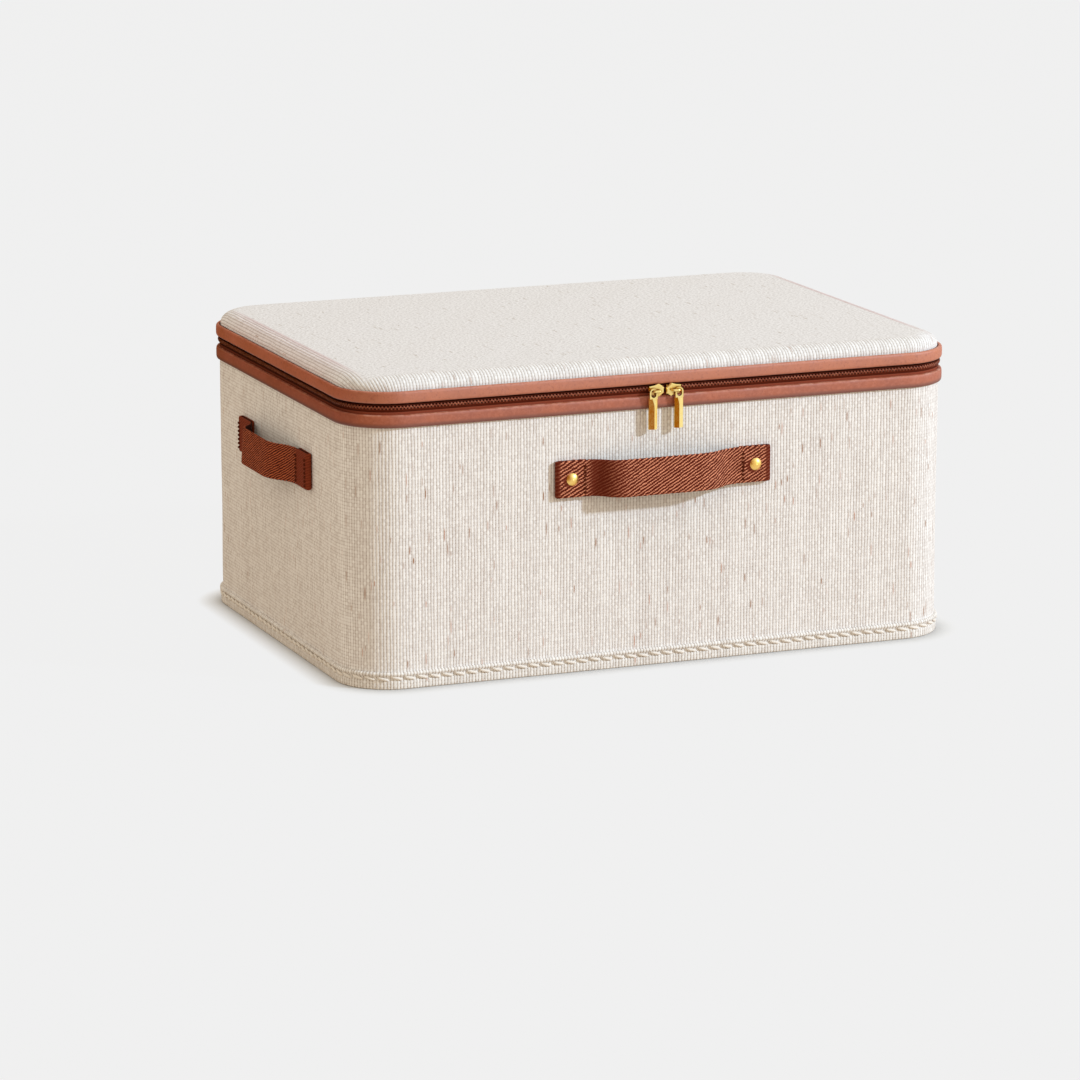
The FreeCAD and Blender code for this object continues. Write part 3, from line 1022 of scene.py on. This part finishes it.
def strap_section():
    """(width, thickness, on the edge) points round a strap with rounded edges."""
    edge = strap_thickness / 2
    count = round(strap_width / strap_grid)
    flat = strap_width / 2 - edge
    widths = [-flat + 2 * flat * i / count for i in range(count + 1)]
    section = [(w, edge, 0.0) for w in widths]
    section += [(x, z, 1.0) for x, z in arc_points((flat, 0.0), edge, 90, -90, 4)[1:-1]]
    section += [(-w, -edge, 0.0) for w in widths]
    section += [(x, z, 1.0) for x, z in arc_points((-flat, 0.0), edge, 270, 90, 4)[1:-1]]
    return section


def rib_scale(along, length):
    """Fineness of the ribs on a tab, or 1 between the tabs."""
    if abs(along) < length / 2 - tab_length:
        return 1.0
    return tab_rib_scales[along > 0]


def strap_mesh(name, length, tilt, place, material, plain_and_shade_at, fineness=1.0):
    """Woven ribbon along its path, with twill ribs raised from its surface."""
    path = evenly(strap_path(length), strap_grid)
    section = strap_section()
    half_width = strap_width / 2
    half_thick = strap_thickness / 2
    middle = path[len(path) // 2][0]
    turn = math.radians(twill_slope)
    tab_top = band_gap + 2 * strap_thickness + fold_gap
    vertices = []
    shares = []
    for i, (at, along, out) in enumerate(path):
        before = path[max(0, i - 1)]
        after = path[min(len(path) - 1, i + 1)]
        direction = Vector((after[1] - before[1], after[2] - before[2])).normalized()
        normal = Vector((-direction.y, direction.x))
        raised = unit((out - tab_top) / (strap_stand_off - tab_top))
        ribs = fineness * rib_scale(along, length)
        for w, thick, on_edge in section:
            over = w * math.cos(turn) - (at - middle) * math.sin(turn)
            rib = abs(math.cos(math.pi * ribs * over / twill_pitch))
            # Each point's plainness and painted shade: ribs flatten and the colour darkens there; 2 marks
            # the underside's near-black painted shade.
            plain = 2.0 if thick < 0 else plain_and_shade_at(along, w)
            swell = (rib - 0.6) * rib_height * (1 - 0.7 * min(1.0, plain))
            p = Vector((along, out)) + normal * (thick * (1 + swell / half_thick))
            tilt_out = -w / half_width * tilt * raised
            vertices.append(place(p.x, p.y + tilt_out, w * (1 + on_edge * swell / half_width)))
            shares.append(plain)
    scales = [fineness * rib_scale((a[1] + b[1]) / 2, length) for a, b in zip(path, path[1:])]

    def uv_at(leg, row, column):
        return (path[row][0] - middle) * scales[leg], section[column % len(section)][0] * scales[leg]

    faces, uvs = tube_faces(len(path), len(section), uv_at)
    obj = finish_object(name, vertices, faces, uvs, material, 80)
    store_share(obj, PLAIN_AND_SHADE_SHARE, shares)
    return obj


def strap_stitches(length, place, tab_rows):
    """Dark stitches across both tabs."""
    stitches = Stitches(6, 5)
    face = band_gap + 2 * strap_thickness + fold_gap + rib_height * 0.4
    pitch = 2.3 * MM
    for side in (-1, 1):
        for at in tab_rows:
            x = side * (length / 2 - tab_length + at)
            for i in range(int((strap_width - 2 * MM) / pitch)):
                w = -strap_width / 2 + 1.4 * MM + (i + 0.1) * pitch
                start = Vector(place(x, face, w))
                end = Vector(place(x, face, w + pitch * 0.72))
                outward = (Vector(place(x, face + MM, w)) - start).normalized()
                stitches.add(start, end, 0.75 * MM, outward, 0.1 * MM)
    return stitches


def strap(name, length, tilt, place, material, plain_and_shade_at, tab_rows, fineness=1.0):
    """Strap with its tabs' rows of stitches."""
    obj = strap_mesh(name + "_strap", length, tilt, place, material, plain_and_shade_at, fineness)
    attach(obj, "box")
    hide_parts(name + "_handle")
    rows = strap_stitches(length, place, tab_rows)
    rows.make(name + "_strap_stitches", brown_thread, "box", "strap_twill")


def front_strap(height):
    low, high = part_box("front_handle")
    length = high.x - low.x

    def on_front(along, out, up):
        return (along, -half_y - out, height + up)

    def front_plain_and_shade(along, up):
        """Plain with painted shade at the steep bend, which faces away from the key lamp, and on the folded
        outer ends, with a painted shadow of each rivet off to its lower left.
        """
        run = along + length / 2 - tab_length
        bend = unit(run / (4 * MM)) * unit((24 * MM - run) / (15 * MM))
        edge_width = 3.8 * MM if along > 0 else 2.6 * MM
        edge = unit((abs(along) - length / 2 + edge_width) / (0.8 * MM))
        # Painted shadow of the rivet, centred off to its lower left.
        rivet = math.copysign(length / 2 - rivet_inset, along)
        off = math.hypot(along - rivet + 1.6 * MM, up + 0.8 * MM)
        return max(bend, edge, unit((4.1 * MM - off) / (0.8 * MM)))

    strap("front", length, front_tilt, on_front, twill, front_plain_and_shade, (seam_inset,))


def side_strap(name, side, height):
    low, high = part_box(name + "_handle")
    length = high.y - low.y

    def on_side(along, out, up):
        return (side * (half_x + out), -along, height + up)

    def side_plain_and_shade(along, up):
        """Plain with painted shade on both tabs, fading into the strap behind the steep bend."""
        half = length / 2
        tab = unit((abs(along) - half + tab_length) / MM)
        return max(tab, unit((-along - 0.35 * half) / (0.35 * half)))

    rows = (seam_inset, tab_length - 2.2 * MM)
    strap(name, length, side_tilt, on_side, shaded_side_twill, side_plain_and_shade, rows, side_fineness)


def dress_cad_nodes():
    """Materials and softened edges of the solids that stay as they are."""
    looks = dict.fromkeys(("base_board", "wall_board", "lid_board", "lid_frame"), board)
    looks |= dict.fromkeys(("front_handle_rivets", "rivet_back_caps"), satin_gold)
    looks["zip_end_stops"] = gold
    for side in ("left_", "right_"):
        looks |= {side + part: gold for part in ("slider", "slider_bridge", "pull")}
    for name, material in looks.items():
        node = frame["nodes"][name]
        node.data.materials.clear()
        node.data.materials.append(material)
        if material in (gold, satin_gold):
            soft = node.modifiers.new("soft_edges", "BEVEL")
            soft.width = 0.18 * MM
            soft.segments = 3
            soft.limit_method = "ANGLE"
            soft.angle_limit = math.radians(35)
            soft.harden_normals = True


def camera():
    data = bpy.data.cameras.new("camera")
    data.sensor_width = 36.0
    data.lens = 158.21
    data.clip_start = 0.05
    data.clip_end = 50.0
    obj = link("camera", data)
    obj.location = (-0.9979, -2.4183, 0.6354)
    obj.rotation_euler = (math.radians(90 - 12.77), 0.0, math.radians(-22.0))
    bpy.context.scene.camera = obj


def area_lamp(name, azimuth, elevation, distance, size, power, colour):
    """Soft lamp that faces the box. Azimuth is from the front towards +X."""
    data = bpy.data.lights.new(name, "AREA")
    data.shape = "DISK"
    data.size = size
    data.energy = power
    data.color = colour
    obj = link(name, data)
    a, e = math.radians(azimuth), math.radians(elevation)
    away = Vector((math.sin(a) * math.cos(e), -math.cos(a) * math.cos(e), math.sin(e)))
    obj.location = Vector((0.0, 0.0, 0.09)) + away * distance
    obj.rotation_euler = away.to_track_quat("Z", "Y").to_euler()


def seen_ray(tree):
    """1 for rays that show the backdrop: straight from the camera, mirrored or through glass."""
    rays = add_node(tree, "LightPath").outputs
    seen = calc("MAXIMUM", Signal(rays["Is Camera Ray"]), Signal(rays["Is Glossy Ray"]))
    return calc("MAXIMUM", seen, Signal(rays["Is Transmission Ray"]))


def world():
    """Warm soft light from all round, seen as an even pale backdrop."""
    studio = bpy.data.worlds.new("studio")
    bpy.context.scene.world = studio
    studio.use_nodes = True
    tree = studio.node_tree
    tree.nodes.clear()
    light = signal(tree, "Background", ((1.0, 0.905, 0.75), 0.787))
    pale = signal(tree, "Background", ((backdrop_tone,) * 3, 1.0))
    add_node(tree, "OutputWorld", (signal(tree, "MixShader", (seen_ray(tree), light, pale)),))


def floor():
    """Wide pale floor whose seen colour blends into the backdrop away from the box, with a painted contact
    shadow darkening its seen colour close to the box.
    """
    material, tree = new_material("studio_floor")
    shader = tree.nodes["Principled BSDF"]
    seen = seen_ray(tree)
    parts = add_node(tree, "SeparateXYZ", (object_place(tree),))
    past = []
    for place, half in zip(parts.outputs[:2], (half_x, half_y)):
        beyond = calc("ABSOLUTE", Signal(place)) - (half - corner_radius)
        past.append(calc("POWER", calc("MAXIMUM", beyond, 0.0), 2.0))
    away = calc("SQRT", past[0] + past[1]) - corner_radius
    # Painted contact shadow: the seen floor colour darkens towards the box's edge.
    painted_contact_shadow = remap(away, 0.0, 14 * MM, 0.54, 0.86, smooth=False)
    tone = mix_colour(seen, (0.62, 0.52, 0.42), pair(painted_contact_shadow, painted_contact_shadow, painted_contact_shadow))
    feed(shader.inputs["Base Color"], tone)
    shader.inputs["Roughness"].default_value = 0.9
    shader.inputs["Specular IOR Level"].default_value = 0.0
    glow = signal(tree, "Emission", ((backdrop_tone,) * 3,))
    share = remap(away, 0.0, floor_shadow, 0.0, 0.98, smooth=False) * seen
    mix = signal(tree, "MixShader", (share, Signal(shader.outputs[0]), glow))
    feed(tree.nodes["Material Output"].inputs[0], mix)
    rings = 48
    radius = 6.0
    turns = [2 * math.pi * i / rings for i in range(rings)]
    points = [(radius * math.cos(t), radius * math.sin(t), 0.0) for t in turns]
    obj = finish_object("studio_floor", points, [tuple(range(rings))], None, material)


def card(name, colour, start, end):
    """Curved reflector from one azimuth to another, which only gloss shows, as in a product studio."""
    material, tree = new_material(name)
    tree.nodes.remove(tree.nodes["Principled BSDF"])
    feed(tree.nodes["Material Output"].inputs[0], signal(tree, "Emission", (colour,)))
    radius = 0.42
    height = 0.7
    steps = 24
    turns = [math.radians(start + (end - start) * i / steps) for i in range(steps + 1)]
    points = [(radius * math.sin(t), -radius * math.cos(t), z) for z in (0.001, height) for t in turns]
    faces = [(i, i + 1, steps + 2 + i, steps + 1 + i) for i in range(steps)]
    obj = finish_object(name, points, faces, None, material)
    for rays in ("camera", "diffuse", "transmission", "volume_scatter", "shadow"):
        setattr(obj, "visible_" + rays, False)


# Materials
weave = cream_weave("cream_weave", (0.42, 0.335, 0.29), (0.94, 0.905, 0.88), 0.075, by_side=True)
lid_weave = cream_weave("lid_weave", (0.42, 0.36, 0.32), (0.895, 0.88, 0.875), 0.045, flat_top=True)
hem_weave = cream_weave("hem_weave", (0.36, 0.27, 0.20), (0.94, 0.91, 0.88), 0.01)
# Each band's third colour is the painted shade of its short sides.
upper_leather = band_leather("upper_leather", (0.43, 0.100, 0.028), (0.50, 0.130, 0.041), (0.93, 0.70, 0.52),
                             sheen=1.64, shaded=2.1 * MM)
lower_leather = band_leather("lower_leather", (0.34, 0.063, 0.015), (0.42, 0.090, 0.025), (0.76, 0.53, 0.38),
                             sheen=1.53, shaded=4.4 * MM)
# Strap colours are groove, rib and the plain painted shade colour; the side straps get a darker copy of the
# same webbing as painted shade.
twill = strap_twill("strap_twill", (0.10, 0.011, 0.003), (0.87, 0.335, 0.19), (0.13, 0.016, 0.005), 0.62)
shaded_side_twill = strap_twill("shaded_side_twill", (0.055, 0.005, 0.002), (0.52, 0.125, 0.050), (0.19, 0.030, 0.011),
                         0.5)
tooth_plastic = zip_plastic()
gold = gold_metal("gold_metal", 0.14, (1.0, 0.72, 0.22), (1.0, 0.80, 0.32))
satin_gold = gold_metal("satin_gold", 0.38, (0.96, 0.60, 0.15), (1.0, 0.68, 0.22))
lining = lining_cloth()
board = fibreboard()
foam = foam_padding()
cream_thread = stitch_thread("cream_thread", (0.80, 0.71, 0.62), (0.94, 0.90, 0.85))
brown_thread = stitch_thread("brown_thread", (0.07, 0.010, 0.003), (0.14, 0.026, 0.009))

# Stripes painted along the zip tapes: height, half width and colour. The shaded line is the painted shadow
# that the upper band casts on its tape; the pale line lies just above the lower band and the dark line just
# below the lower bead.
pale_line = (band_low_top.z + 0.65 * MM, 0.85 * MM, (0.26, 0.060, 0.032))
dark_line = (band_low_top.z + 1.65 * MM, 0.22 * MM, (0.05, 0.005, 0.001))
shaded_line = (tape_high_start.z + 2.2 * MM, 2.0 * MM, (0.030, 0.004, 0.001))
tape_cloth = zip_cloth("zip_cloth", tape_low_start.z, (pale_line, dark_line))
shaded_cloth = zip_cloth("upper_zip_cloth", tape_high_start.z, (shaded_line,))

# The box, from its wall to its handles
wall_fabric()
bottom_hem()
hem_stitches()
base_fabric()
band("lower_trim", band_low_corner.z - lower_band_drop, band_low_top.z, "box", "lower_band", lower_leather)
band("upper_trim", band_high_low.z, band_high_corner.z - upper_band_cut, "lid", "upper_band", upper_leather)
zip_tape("zip_tape_low", tape_low_start.z, tape_low_end.z, "box", "lower_zip_tape", tape_cloth)
zip_tape("zip_tape_high", tape_high_start.z, tape_high_end.z, "lid", "upper_zip_tape", shaded_cloth)
zip_teeth("zip_teeth_low", zip_seam - tooth_root, zip_seam + tooth_reach, 0.0, "box", "lower_zip_coil")
zip_teeth("zip_teeth_high", zip_seam + tooth_root, zip_seam - tooth_reach, 0.5, "lid", "upper_zip_coil")
zip_cord("zip_bead_low", zip_seam - 1.15 * MM, "box", tape_cloth)
zip_cord("zip_bead_high", zip_seam + 1.1 * MM, "lid", shaded_cloth)
hinge_fabric()
lid_fabric()
lid_pad()
box_lining()
floor_lining()
lid_lining()
handle_low, handle_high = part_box("front_handle")
handle_height = (handle_low.z + handle_high.z) / 2
front_strap(handle_height)
side_strap("left", -1, handle_height)
side_strap("right", 1, handle_height)
dress_cad_nodes()

# The studio
camera()
area_lamp("key_lamp", azimuth=49, elevation=26, distance=7.0, size=0.5, power=362, colour=(0.68, 0.835, 1))
area_lamp("top_lamp", azimuth=-10, elevation=84, distance=2.4, size=2.0, power=2, colour=(0.25, 0.5, 1))
world()
floor()
card("dark_card", (0.34, 0.13, 0.005), -175, -18)
card("pale_card", (1.0, 1.0, 1.0), 38, 120)
bpy.context.scene.view_settings.view_transform = "Standard"
